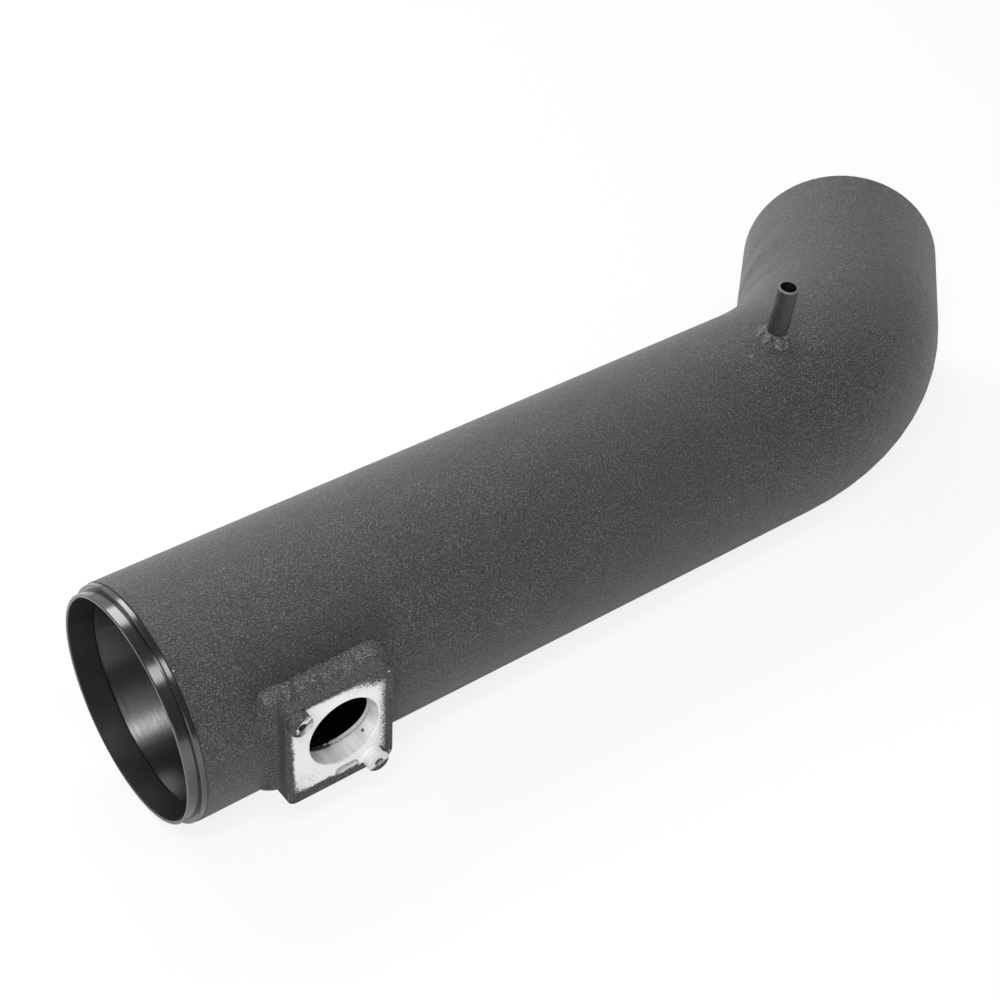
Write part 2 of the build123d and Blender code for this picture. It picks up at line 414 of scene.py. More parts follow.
# Nipple bead: its sway is a scale, a fixed place and a share, its top's a scale, a share and a drop,
# and its lift is shared between outward and upward
NIPPLE_STEPS = 140
NIPPLE_SWAY = (1.9, Vector((4.0, 1.0, 2.0)), 0.75)
NIPPLE_EDGE = 0.1 * MM
NIPPLE_OVERLAP = 0.22 * MM
NIPPLE_SINK = 0.25 * MM
NIPPLE_TOP_SWAY = (2.3, 0.35, -0.55)
NIPPLE_PULL = 0.35 * MM
NIPPLE_COARSE = (420, 0.8)
NIPPLE_FINE = (1000, 0.45)
NIPPLE_CRESTS = 8
NIPPLE_CREST_TWIST = 0.25
NIPPLE_CREST_HEIGHT = 0.9
NIPPLE_LIFT = (0.6, 0.8)
NIPPLE_ROOT = 0.8 * MM


# Shader nodes
class Graph:
    """Short names for the nodes of one material."""

    def __init__(self, name):
        self.material = bpy.data.materials.new(name)
        self.material.use_nodes = True
        self.tree = self.material.node_tree
        self.tree.nodes.clear()
        self.output = self.tree.nodes.new("ShaderNodeOutputMaterial")

    def node(self, kind, **settings):
        made = self.tree.nodes.new(kind)
        for key, value in settings.items():
            setattr(made, key, value)
        return made

    def put(self, value, socket):
        if isinstance(value, bpy.types.NodeSocket):
            self.tree.links.new(value, socket)
        else:
            socket.default_value = value

    def math(self, operation, a, b=0.0, c=0.0):
        made = self.node("ShaderNodeMath", operation=operation)
        self.put(a, made.inputs[0])
        self.put(b, made.inputs[1])
        self.put(c, made.inputs[2])
        return made.outputs[0]

    def vector(self, operation, a, b=(0, 0, 0)):
        made = self.node("ShaderNodeVectorMath", operation=operation)
        self.put(a, made.inputs[0])
        self.put(b, made.inputs[1])
        return made.outputs["Value"] if operation in ("LENGTH", "DOT_PRODUCT") else made.outputs[0]

    def step(self, value, low, high):
        """0 below low, 1 above high, smooth between."""
        made = self.node("ShaderNodeMapRange", interpolation_type="SMOOTHSTEP")
        self.put(value, made.inputs["Value"])
        self.put(low, made.inputs["From Min"])
        self.put(high, made.inputs["From Max"])
        return made.outputs["Result"]

    def spread(self, value, low, high):
        """Stretches 0 to 1 over low to high."""
        made = self.node("ShaderNodeMapRange")
        self.put(value, made.inputs["Value"])
        made.inputs["To Min"].default_value = low
        made.inputs["To Max"].default_value = high
        return made.outputs["Result"]

    def fray(self, value, reach):
        """Stretches 0 to 1 over minus reach to reach."""
        return self.spread(value, -reach, reach)

    def mix(self, factor, a, b):
        """Mixes two colours; sockets 6 and 7 are the node's colours A and B."""
        made = self.node("ShaderNodeMix", data_type="RGBA")
        self.put(factor, made.inputs["Factor"])
        self.put(a, made.inputs[6])
        self.put(b, made.inputs[7])
        return made.outputs[2]

    def greys(self, factor, pair):
        return self.mix(factor, grey(pair[0]), grey(pair[1]))

    def product(self, first, *others):
        for other in others:
            first = self.math("MULTIPLY", first, other)
        return first

    def without(self, value):
        """1 where the value is 0 and 0 where it is 1."""
        return self.math("SUBTRACT", 1.0, value)

    def span(self, a, b, c=0.0):
        """Length of the vector with these three parts."""
        return self.vector("LENGTH", self.join(a, b, c))

    def blend(self, factor, a, b):
        made = self.node("ShaderNodeMix", data_type="FLOAT")
        self.put(factor, made.inputs[0])
        self.put(a, made.inputs[2])
        self.put(b, made.inputs[3])
        return made.outputs[0]

    def noise(self, place, scale, detail=2.0, rough=0.5):
        made = self.node("ShaderNodeTexNoise")
        self.put(place, made.inputs["Vector"])
        made.inputs["Scale"].default_value = scale
        made.inputs["Detail"].default_value = detail
        made.inputs["Roughness"].default_value = rough
        return made.outputs["Fac"]

    def bump(self, height, distance, strength=1.0, normal=None):
        made = self.node("ShaderNodeBump")
        made.inputs["Strength"].default_value = strength
        made.inputs["Distance"].default_value = distance
        self.put(height, made.inputs["Height"])
        if normal is not None:
            self.put(normal, made.inputs["Normal"])
        return made.outputs[0]

    def place(self):
        return self.node("ShaderNodeTexCoord").outputs["Object"]

    def parts(self, vector):
        made = self.node("ShaderNodeSeparateXYZ")
        self.put(vector, made.inputs[0])
        return made.outputs[0], made.outputs[1], made.outputs[2]

    def join(self, x, y, z):
        made = self.node("ShaderNodeCombineXYZ")
        self.put(x, made.inputs[0])
        self.put(y, made.inputs[1])
        self.put(z, made.inputs[2])
        return made.outputs[0]

    def local(self, placement):
        """The object's coordinates as seen in a frame set on the part."""
        inverse = placement.inverted()
        place = self.place()
        found = []
        for row in range(3):
            direction = tuple(inverse[row][:3])
            dot = self.vector("DOT_PRODUCT", place, direction)
            found.append(self.math("ADD", dot, inverse[row][3]))
        return found

    def finish(self, **inputs):
        shader = self.node("ShaderNodeBsdfPrincipled")
        for key, value in inputs.items():
            self.put(value, shader.inputs[key.replace("_", " ")])
        self.tree.links.new(shader.outputs[0], self.output.inputs["Surface"])
        return self.material


def grey(level):
    return (level, level, level, 1)


def wrinkle(g, place):
    """Height of the sandy wrinkle coat: small grains on slow waves."""
    grains = g.noise(place, *WRINKLE_NOISE)
    waves = g.noise(place, *WAVE_NOISE)
    return g.math("MULTIPLY_ADD", waves, WAVE_SHARE, grains)


def coat_colour(g, place, level=1.0):
    """Dark grey of the coat, salt and pepper grain by grain, with pale specks that are painted
    glints.
    """
    grains = g.step(g.noise(place, *GRAIN_NOISE), *GRAIN_EDGES)
    # painted glints: pale specks scattered over the grain, mixed in below as the pale tone
    glint_specks = g.step(g.noise(place, *GLINT_SPECK_NOISE), *GLINT_SPECK_EDGES)
    patches = g.noise(place, *PATCH_NOISE)
    ground = g.greys(grains, [shade * level for shade in GRAIN_GREYS])
    pale = g.greys(patches, [shade * level for shade in GLINT_SPECK_GREYS])
    return g.mix(glint_specks, ground, pale)


def finish_coat(g, colour, place):
    return g.finish(
        Base_Color=colour,
        Roughness=COAT_ROUGH,
        Sheen_Weight=SHEEN,
        Sheen_Roughness=SHEEN_ROUGH,
        Normal=g.bump(wrinkle(g, place), GRAIN_HEIGHT),
    )


def bend_place(g):
    """Where a point of the tube is, in five values.

    They are its distance from the centre line, the turn of the bend there, how far it is to the
    inner side of the bend, the run along the tube and the tube's heading.
    """
    x, y, z = g.parts(g.place())
    straight = g.span(y, z)
    past = g.math("SUBTRACT", x, BEND_START)
    inside = g.math("SUBTRACT", BEND_RADIUS, y)
    swing = g.math("SUBTRACT", g.span(past, inside), BEND_RADIUS)
    bent = g.span(swing, z)
    across = g.math("MULTIPLY_ADD", past, math.sin(BEND_ANGLE), -BEND_RADIUS)
    across = g.math("MULTIPLY_ADD", inside, math.cos(BEND_ANGLE), across)
    outlet = g.span(across, z)
    turned = g.math("ARCTAN2", past, inside)
    in_bend = g.math("GREATER_THAN", turned, 0.0)
    in_outlet = g.math("GREATER_THAN", turned, BEND_ANGLE)
    radius = g.blend(in_outlet, g.blend(in_bend, straight, bent), outlet)
    inward = g.product(g.blend(in_outlet, swing, across), -1.0)
    run = g.blend(in_bend, past, g.product(turned, BEND_RADIUS))
    beyond = g.product(past, math.cos(BEND_ANGLE))
    beyond = g.math("MULTIPLY_ADD", y, math.sin(BEND_ANGLE), beyond)
    run = g.blend(in_outlet, run, beyond)
    heading = g.math("MINIMUM", g.product(turned, in_bend), BEND_ANGLE)
    return radius, turned, inward, run, heading


def dot_mask(g, place, centre, radius, soft):
    """1 within a small ball round a point, fading over a soft edge."""
    distance = g.vector("LENGTH", g.vector("SUBTRACT", place, centre))
    return g.without(g.step(distance, radius - soft, radius + soft))


def tube_coat(g, place, across, up, out):
    """Coat of the tube: coarser far off, with painted shade above the block and a scuff by the
    nipple.
    """
    coarse = coat_colour(g, g.vector("MULTIPLY", place, FAR_GRAIN))
    far = g.step(g.parts(place)[0], *FAR_EDGES)
    coat = g.mix(far, coat_colour(g, place), coarse)
    # painted shade: a darker coat in a band on the tube just above the block
    beside = g.math("ABSOLUTE", g.math("ADD", across, -SHADE_MIDDLE))
    beside = g.math("MAXIMUM", g.math("SUBTRACT", beside, SHADE_HALF), 0.0)
    above = g.math("ABSOLUTE", g.math("SUBTRACT", up, SHADE_UP))
    shade = g.step(g.span(beside, above), *SHADE_EDGES)
    shade = g.product(shade, g.step(out, 0.0, SHADE_DEPTH))
    coat = g.mix(g.product(shade, SHADE_SHARE), coat, coat_colour(g, place, SHADE_LEVEL))
    scuff = g.vector("MULTIPLY", g.vector("SUBTRACT", place, SCUFF), SCUFF_STRETCH)
    scuff = g.vector("LENGTH", scuff)
    scuff = g.math("MULTIPLY_ADD", g.noise(place, *SCUFF_NOISE), SCUFF_FRAY, scuff)
    return g.mix(g.step(scuff, *SCUFF_EDGES), coat, grey(SCUFF_GREY))


def tube_material():
    g = Graph("tube_coat")
    place = g.place()
    radius, turned, inward, run, heading = bend_place(g)
    outside = g.step(radius, *WALL_EDGES)
    gloss = g.greys(g.noise(place, *SMEAR_NOISE), INNER_GREYS)
    across, up, out = g.local(flange_frame)
    colour = g.mix(outside, gloss, tube_coat(g, place, across, up, out))

    # the cut rim of the sensor bore
    cut = g.math("LESS_THAN", g.span(across, up), SENSOR_BORE_RADIUS + CUT_SLACK)
    cut = g.product(cut, g.math("GREATER_THAN", out, CUT_DEPTH))
    crumbs = g.fray(g.noise(place, *FUZZ_NOISE), CUT_FRAY)
    clean = g.step(g.math("ADD", across, crumbs), *CUT_EDGES)
    colour = g.mix(cut, colour, g.greys(clean, CUT_GREYS))
    for chip, size in CHIPS:
        colour = g.mix(dot_mask(g, place, chip, size, CHIP_SOFT), colour, grey(CHIP_GREY))

    # the marks inside tip the surface along the tube, more to the mouth than away from it
    marks = g.noise(g.join(run, 0.0, 0.0), *MARK_NOISE)
    tilt = g.math("MULTIPLY_ADD", g.math("SUBTRACT", marks, 0.5), INNER_TILT, INNER_LEAN)
    tilt = g.product(tilt, g.without(outside))
    along_x = g.product(tilt, g.math("COSINE", heading))
    along_y = g.product(tilt, g.math("SINE", heading))
    normal = g.node("ShaderNodeNewGeometry").outputs["Normal"]
    normal = g.vector("ADD", normal, g.join(along_x, along_y, 0.0))
    normal = g.vector("NORMALIZE", normal)

    # creases and grain are on the outside only
    crease = g.math("SINE", g.product(turned, math.tau / CREASE_PITCH))
    crease = g.product(crease, g.step(inward, *CREASE_SIDE))
    crease = g.product(crease, g.step(turned, *CREASE_FADE_IN))
    crease = g.product(crease, g.step(turned, *CREASE_FADE_OUT))
    creased = g.bump(g.product(crease, outside), CREASE_DEPTH, 1.0, normal)
    height = g.product(outside, wrinkle(g, place))
    return g.finish(
        Base_Color=colour,
        Roughness=g.blend(outside, INNER_ROUGH, COAT_ROUGH),
        Metallic=g.product(g.without(g.math("MAXIMUM", outside, cut)), INNER_METAL),
        Sheen_Weight=SHEEN,
        Sheen_Roughness=SHEEN_ROUGH,
        Normal=g.bump(height, GRAIN_HEIGHT, 1.0, creased),
    )


def weld_material():
    """Coated weld, with painted light on its top above the block and painted shade in the groove
    before it.
    """
    g = Graph("weld_coat")
    place = g.place()
    across, up, out = g.local(flange_frame)
    wander = g.math("MULTIPLY_ADD", g.noise(place, *WANDER_NOISE), WANDER_REACH, up)
    # painted light: a paler copy of the coat on the weld's top above the block
    above = g.step(wander, *LIT_TOP_EDGES)
    colour = g.mix(above, coat_colour(g, place), coat_colour(g, place, WELD_LIT_TOP_LEVEL))
    # painted shade: darker coat in the groove before the block
    groove_shade = g.product(g.step(across, *GROOVE_SIDE), g.step(up, *GROOVE_TOP))
    colour = g.mix(g.product(groove_shade, GROOVE_SHADE_SHARE), colour, grey(GROOVE_SHADE_GREY))
    return finish_coat(g, colour, place)


def nipple_weld_material():
    g = Graph("nipple_weld_coat")
    place = g.place()
    lumps = g.step(g.noise(place, *LUMP_NOISE), *LUMP_EDGES)
    colour = g.mix(lumps, *(coat_colour(g, place, level) for level in LUMP_LEVELS))
    return finish_coat(g, colour, place)


def ring_material():
    g = Graph("ring_gloss")
    place = g.place()
    x, y, z = g.parts(place)
    radius = g.span(y, z)
    marks = g.noise(g.join(x, radius, 0.0), *RING_MARK_NOISE)
    smear = g.noise(place, *RING_SMEAR_NOISE)
    inner = g.math("LESS_THAN", radius, RING_BORE + RING_SLACK)
    rough_inside = g.spread(smear, *RING_INNER_ROUGH)
    rough_outside = g.spread(smear, *RING_OUTER_ROUGH)
    height = g.math("MULTIPLY_ADD", smear, RING_SMEAR_SHARE, marks)
    return g.finish(
        Base_Color=g.greys(smear, RING_GREYS),
        Roughness=g.blend(inner, rough_inside, rough_outside),
        IOR=GLOSS_IOR,
        Normal=g.bump(height, RING_MARKS),
    )


def nipple_material():
    g = Graph("nipple_coat")
    place = g.place()
    across, side, out = g.local(nipple_frame)
    grit = g.step(g.noise(place, *GRIT_NOISE), *GRIT_EDGES)
    blotches = g.noise(place, *BLOTCH_NOISE)
    dark = g.greys(blotches, BLOTCH_GREYS)
    colour = g.mix(g.product(grit, GRIT_SHARE), dark, grey(GRIT_GREY))
    radius = g.span(across, side)
    # painted highlight: a lighter grey on the nipple's rounded top rim
    rim_highlight = g.product(g.step(out, *RIM_TOP), g.step(radius, *RIM_SIDE))
    colour = g.mix(rim_highlight, colour, grey(RIM_HIGHLIGHT_GREY))
    # painted shade: the nipple's bore is painted nearly black
    colour = g.mix(g.step(radius, *NIPPLE_BORE_SHADE_EDGES), colour, grey(NIPPLE_BORE_SHADE_GREY))
    height = g.noise(place, *NIPPLE_NOISE)
    height = g.math("MULTIPLY_ADD", blotches, BLOTCH_SHARE, height)
    return g.finish(
        Base_Color=colour,
        Roughness=NIPPLE_ROUGH,
        Normal=g.bump(height, NIPPLE_HEIGHT),
    )


def face_patch(g, place, across, up, fuzz):
    """Where the face is bare metal: a soft, speckled patch inside the edges of the block."""
    sway = g.noise(place, *SWAY_NOISE)
    ragged = g.math("ADD", g.fray(sway, SWAY_REACH), g.fray(fuzz, FUZZ_REACH))
    dusty = g.fray(g.noise(place, *DUST_NOISE), DUST_REACH)

    # distances inside each side of the patch
    left = g.math("ADD", across, -PATCH_LEFT)
    left = g.math("MULTIPLY_ADD", up, PATCH_LEFT_SLANT, left)
    drop = g.step(across, *PATCH_LOW_EDGES)
    low = g.math("ADD", up, g.math("MULTIPLY_ADD", drop, PATCH_LOW_DROP, -PATCH_LOW))
    right = g.math("SUBTRACT", PATCH_RIGHT, across)
    top = g.math("SUBTRACT", PATCH_TOP, up)
    slope = g.product(up, PATCH_SLOPE_TURN[1])
    slope = g.math("MULTIPLY_ADD", across, PATCH_SLOPE_TURN[0], slope)
    slope = g.math("ADD", slope, PATCH_SLOPE)
    corner = g.math("ADD", g.product(g.math("ADD", across, up), DIAGONAL), PATCH_CORNER)
    sides = (
        (left, ragged, SOFT_LOW),
        (low, ragged, SOFT_LOW),
        (corner, dusty, SOFT_LOW),
        (top, ragged, SOFT_TOP),
        (slope, dusty, SOFT_RIGHT),
        (right, dusty, SOFT_RIGHT),
    )
    masks = [g.step(g.math("ADD", side, frayed), -soft, soft) for side, frayed, soft in sides]
    return g.product(*masks, g.step(across, *PATCH_STOP))


def pocket_masks(g, across, up, out, fuzz):
    """Where the pocket's floor and walls are, their grey with painted shade towards the upper wall,
    and its coated lower lip.
    """
    off_a = g.math("ABSOLUTE", g.math("SUBTRACT", across, POCKET_CENTRE[0]))
    off_a = g.math("MAXIMUM", g.math("SUBTRACT", off_a, POCKET_HALF - POCKET_RADIUS), 0.0)
    off_b = g.math("SUBTRACT", up, POCKET_CENTRE[1])
    pocket = g.math("LESS_THAN", g.span(off_a, off_b), POCKET_RADIUS + POCKET_SLACK)
    pocket = g.product(pocket, g.math("LESS_THAN", out, POCKET_RIM))
    pocket = g.product(pocket, g.math("GREATER_THAN", out, POCKET_FLOOR))
    lip = g.step(g.math("ADD", out, g.fray(fuzz, LIP_FRAY)), *LIP_EDGES)
    lip = g.product(lip, g.math("LESS_THAN", off_b, LIP_LOW), pocket)
    # the pocket's grey carries painted shade, darker towards its upper wall
    return pocket, g.greys(g.step(off_b, *POCKET_SHADE_EDGES), POCKET_SHADE_GREYS), lip


def boss_place(g, across, up, centre):
    """Place on a boss from its centre, and where the boss stands."""
    a = g.math("SUBTRACT", across, centre[0])
    b = g.math("SUBTRACT", up, centre[1])
    reach = g.span(a, b)
    return a, b, reach, g.step(reach, *BOSS_EDGES)


def upper_wear(g, a, b, fuzz):
    """Worn streaks on the end of the upper boss, and their uneven grey."""
    toward = g.product(b, WEAR_TOWARD[1])
    toward = g.math("MULTIPLY_ADD", a, WEAR_TOWARD[0], toward)
    along = g.product(b, WEAR_ALONG[1])
    along = g.math("MULTIPLY_ADD", a, WEAR_ALONG[0], along)
    streak = g.noise(g.join(g.product(along, STREAK_STRETCH), toward, 0.0), *STREAK_NOISE)
    worn = g.math("MULTIPLY_ADD", g.fray(streak, 1.0), STREAK_REACH, toward)
    worn = g.step(worn, *WEAR_EDGES)
    start = g.step(g.math("ADD", along, g.fray(fuzz, WEAR_FRAY)), *WEAR_START)
    return g.product(worn, start), g.greys(g.step(streak, *WEAR_GREY_EDGES), WEAR_GREYS)


def lower_bare(g, a, b, reach, end, fuzz):
    """Bare parts of the lower boss, its screw hole and the hole's grey, with painted shade towards
    its upper side.
    """
    lean = g.math("MULTIPLY_ADD", a, LOWER_SLANT, b)
    on_end = g.step(g.math("ADD", lean, g.fray(fuzz, LOWER_FRAY)), *LOWER_EDGES)
    on_side = g.math("MULTIPLY_ADD", a, -1.0, g.fray(fuzz, LOWER_SIDE_FRAY))
    on_side = g.step(on_side, *LOWER_SIDE_EDGES)
    hole = g.step(reach, *HOLE_EDGES)
    bare = g.math("MAXIMUM", g.blend(end, on_side, on_end), hole)
    # painted shade inside the screw hole, darker towards its upper side
    return bare, hole, g.greys(g.step(b, *HOLE_SHADE_EDGES), HOLE_SHADE_GREYS)


def tooled_bore(g, across, up, out, fuzz):
    """Tool bands along the bore's wall and its colour, with painted shade at its inner end and one
    spot.
    """
    turn = g.math("ARCTAN2", up, across)
    spot = g.join(g.product(turn, BAND_ROUND), g.product(out, BAND_STRETCH), 0.0)
    bands = g.noise(spot, *BAND_NOISE)
    tooled = g.greys(g.step(bands, *BAND_EDGES), BAND_GREYS)
    # painted shade: dark grey towards the bore's inner end
    deep_shade = g.step(g.math("ADD", out, g.fray(fuzz, BORE_SHADE_FRAY)), *BORE_SHADE_EDGES)
    tooled = g.mix(deep_shade, tooled, grey(BORE_SHADE_GREY))
    spot = g.vector("LENGTH", g.vector("SUBTRACT", g.join(across, up, out), BORE_SPOT))
    return bands, g.mix(g.step(spot, *BORE_SPOT_EDGES), tooled, grey(BORE_SPOT_GREY))


def blasted_metal(g, place, across, up, blotches):
    """Pale blasted face, with pits and with crumbs of coat in one corner."""
    blast = g.greys(blotches, BLAST_GREYS)
    pits = g.step(g.noise(place, *PIT_NOISE), *PIT_EDGES)
    blast = g.mix(g.product(pits, PIT_SHARE), blast, grey(PIT_GREY))
    off_a = g.math("ADD", across, -CRUMB_CORNER[0])
    off_b = g.math("ADD", up, -CRUMB_CORNER[1])
    crumbs = g.step(g.noise(place, *CRUMB_NOISE), *CRUMB_EDGES)
    crumbs = g.product(crumbs, g.step(g.span(off_a, off_b), *CRUMB_REACH), CRUMB_SHARE)
    return g.mix(crumbs, blast, grey(CRUMB_GREY))


def flange_material():
    g = Graph("flange_machined")
    place = g.place()
    across, up, out = g.local(flange_frame)
    fuzz = g.noise(place, *FUZZ_NOISE)
    patch = face_patch(g, place, across, up, fuzz)
    on_right = g.math("LESS_THAN", across, FACE_RIGHT)
    bare = g.product(patch, g.step(out, *FACE_EDGES), on_right)
    pocket, pocket_shade_grey, lip = pocket_masks(g, across, up, out, fuzz)
    bare = g.product(g.math("MAXIMUM", bare, pocket), g.without(lip))

    raised = g.step(out, *RAISED_EDGES)
    end = g.step(out, *END_EDGES)
    a, b, reach, near = boss_place(g, across, up, UPPER_BOSS)
    on_upper = g.product(near, raised)
    worn, worn_grey = upper_wear(g, a, b, fuzz)
    bare = g.blend(on_upper, bare, g.product(worn, end))
    a, b, reach, near = boss_place(g, across, up, LOWER_BOSS)
    on_lower = g.product(near, raised)
    lower, hole, hole_shade_grey = lower_bare(g, a, b, reach, end, fuzz)
    bare = g.blend(on_lower, bare, lower)

    bore = g.math("LESS_THAN", g.span(across, up), SENSOR_BORE_RADIUS + BORE_SLACK)
    bare = g.math("MAXIMUM", bare, bore)
    bands, tooled = tooled_bore(g, across, up, out, fuzz)

    blotches = g.noise(place, *BLAST_NOISE)
    blast = blasted_metal(g, place, across, up, blotches)
    blast = g.mix(on_lower, blast, g.mix(hole, grey(LOWER_GREY), hole_shade_grey))
    blast = g.mix(on_upper, blast, worn_grey)
    metal = g.mix(bore, g.mix(pocket, blast, pocket_shade_grey), tooled)

    coat = coat_colour(g, place)
    flat = g.join(across, up, 0.0)
    for centre, size, shade in FACE_SPOTS:
        distance = g.vector("LENGTH", g.vector("SUBTRACT", flat, centre))
        spot = g.step(distance, size + FACE_SPOT_SOFT, size - FACE_SPOT_SOFT)
        coat = g.mix(spot, coat, grey(shade))
    relief = g.product(g.noise(place, *RELIEF_NOISE), RELIEF_SHARE)
    relief = g.blend(bore, relief, g.product(bands, BAND_RELIEF))
    height = g.blend(bare, wrinkle(g, place), relief)
    return g.finish(
        Base_Color=g.mix(bare, coat, metal),
        Roughness=g.blend(bare, COAT_ROUGH, g.spread(blotches, *BLAST_ROUGH)),
        Metallic=g.product(bare, BARE_METAL),
        Normal=g.bump(height, GRAIN_HEIGHT),
    )


def ripple(phase):
    """Rounded crests with sharp valleys between them, from 0 to 1."""
    return abs(math.sin(math.pi * phase))


def closed_mesh(name, rings, material):
    """Closed tube of faces through rings of points, the last ring joined to the first."""
    count = len(rings[0])
    points = [point for ring in rings for point in ring]
    faces = []
    for i in range(len(rings)):
        n = (i + 1) % len(rings)
        for k in range(count):
            m = (k + 1) % count
            faces.append((i * count + k, n * count + k, n * count + m, i * count + m))
    mesh = bpy.data.meshes.new(name)
    mesh.from_pydata(points, [], faces)
    mesh.materials.append(material)
    work = bmesh.new()
    work.from_mesh(mesh)
    bmesh.ops.recalc_face_normals(work, faces=work.faces)
    work.to_mesh(mesh)
    work.free()
    for face in mesh.polygons:
        face.use_smooth = True
    made = bpy.data.objects.new(name, mesh)
    bpy.context.scene.collection.objects.link(made)
    return made


def skin_height(aside):
    """Height of the tube's outside above its centre, at a distance to the side."""
    return math.sqrt(TUBE_RADIUS**2 - aside**2)


def arc(t, first, pull, last):
    """Place on a smooth arc from first to last that is drawn towards pull."""
    return (1 - t) ** 2 * first + 2 * t * (1 - t) * pull + t * t * last


def weld_stations():
    """Stations round the block foot: a place, the way out from it and the distance run."""
    half_x = (BLOCK_RIGHT - BLOCK_LEFT) / 2 - BLOCK_CORNER
    half_y = (BLOCK_TOP - BLOCK_BOTTOM) / 2 - BLOCK_CORNER
    centre = ((BLOCK_RIGHT + BLOCK_LEFT) / 2, (BLOCK_TOP + BLOCK_BOTTOM) / 2)
    signs = [(1, 1), (-1, 1), (-1, -1), (1, -1)]
    quarter = math.pi / 2
    path_radius = BLOCK_CORNER + CORNER_SPARE
    found = []
    run = 0.0
    for index, (sx, sy) in enumerate(signs):
        nx, ny = signs[(index + 1) % 4]
        start = quarter * index
        for step in range(CORNER_STEPS):
            angle = start + quarter * step / CORNER_STEPS
            found.append((centre[0] + sx * half_x, centre[1] + sy * half_y, angle, run))
            run += path_radius * quarter / CORNER_STEPS
        length = 2 * (half_x if sx != nx else half_y)
        side_steps = round(length / STATION_PITCH)
        for step in range(side_steps):
            t = step / side_steps
            x = centre[0] + half_x * (sx + (nx - sx) * t)
            y = centre[1] + half_y * (sy + (ny - sy) * t)
            found.append((x, y, start + quarter, run))
            run += length / side_steps
    return found


def weld_reach(dx, dy):
    """How far the flange bead stands out from the block in one direction."""
    across = (WELD_REAR if dx > 0 else WELD_FRONT) * dx
    along = (WELD_TOP if dy > 0 else WELD_BOTTOM) * dy
    reach = math.hypot(across, along)
    if dy < -LEVEL_SINE:
        reach = min(reach, (BLOCK_CORNER + WELD_BOTTOM) / -dy - BLOCK_CORNER)
    return reach


def flange_lift(spot, run, t, top, front, on_lump):
    """How far the flange bead's skin is lifted at a spot, before its edges are held down."""
    scale, share = ROUGH_COARSE
    rough = share * noise.noise(spot * scale)
    scale, share = ROUGH_FINE
    rough += share * noise.noise(spot * scale)
    scale, across, offset = BEAD_NOISE
    bead = BEAD_SHARE * noise.noise(Vector((run * scale, t * across, offset)))
    crest = ripple((run - TOP_BOW * t * (1 - t) * 4) / TOP_PITCH) - RIPPLE_MEAN
    fine = ripple((run - FRONT_BOW * t * (1 - t) * 4) / FRONT_PITCH) - RIPPLE_MEAN
    on_top = TOP_SHARES[0] * bead + TOP_SHARES[1] * crest + TOP_SHARES[2] * rough
    on_front = FRONT_SHARES[0] * fine + FRONT_SHARES[1] * rough
    lift = top * on_top + front * on_front
    lift += (1 - top) * (1 - front) * rough + BIG_LUMP_SHARE * on_lump
    return lift


def flange_bead():
    """The weld round the flange: lumpy along its top, finely rippled down its front."""
    rings = []
    for x, y, angle, run in weld_stations():
        dx, dy = math.cos(angle), math.sin(angle)
        reach = weld_reach(dx, dy)
        top = max(0.0, dy) ** 2
        front = max(0.0, -dx) ** 2
        on_lump = math.exp(-((angle - BIG_LUMP_ANGLE) / BIG_LUMP_SPREAD) ** 2)
        scale, *offsets = EDGE_NOISE
        sway = noise.noise(Vector((run * scale, *offsets))) * (EDGE_SWAY + EDGE_SWAY_TOP * top) * MM
        outer = BLOCK_CORNER + reach + sway * min(1.0, reach / THIN_REACH) - EDGE_PULL_TOP * top * MM
        inner = BLOCK_CORNER - WELD_OVERLAP
        up = y + dy * BLOCK_CORNER
        fall = WELD_FALL_TOP if up > 0 else WELD_FALL_BOTTOM
        high = TUBE_RADIUS + WELD_RISE - fall * (up / BLOCK_TOP) ** 4
        low = skin_height(y + dy * outer) - WELD_OVERLAP
        pull_r = (outer + inner) / 2 + 2 * WELD_CROWN * math.sqrt(0.5)
        pull_h = (low + high) / 2 + 2 * WELD_CROWN * math.sqrt(0.5)
        ring = []
        for k in range(SECTION_STEPS + 1):
            t = k / SECTION_STEPS
            r = arc(t, outer, pull_r, inner)
            h = arc(t, low, pull_h, high)
            rise = t * SWELL_STRETCH + SWELL_START
            swell = math.sin(math.pi * rise) ** SWELL_POWER if rise < 1 else 0.0
            spot = Vector((x + dx * r, y + dy * r, h))
            lift = flange_lift(spot, run, t, top, front, on_lump) * swell * MM
            r += lift * DIAGONAL
            h += lift * DIAGONAL
            ring.append(flange_frame @ Vector((x + dx * r, y + dy * r, h)))
        foot = skin_height(y + dy * inner) - BEAD_ROOT
        ring.append(flange_frame @ Vector((x + dx * inner, y + dy * inner, foot)))
        rings.append(ring)
    return closed_mesh("flange_bead", rings, weld_material())


def nipple_lift(spot, angle, t):
    """How far the nipple bead's skin is lifted at a spot."""
    scale, share = NIPPLE_COARSE
    rough = share * noise.noise(spot * scale)
    scale, share = NIPPLE_FINE
    rough += share * noise.noise(spot * scale)
    crest = ripple(NIPPLE_CRESTS * angle / math.tau + NIPPLE_CREST_TWIST * t) - RIPPLE_MEAN
    return (rough + NIPPLE_CREST_HEIGHT * crest) * math.sin(math.pi * t) * MM


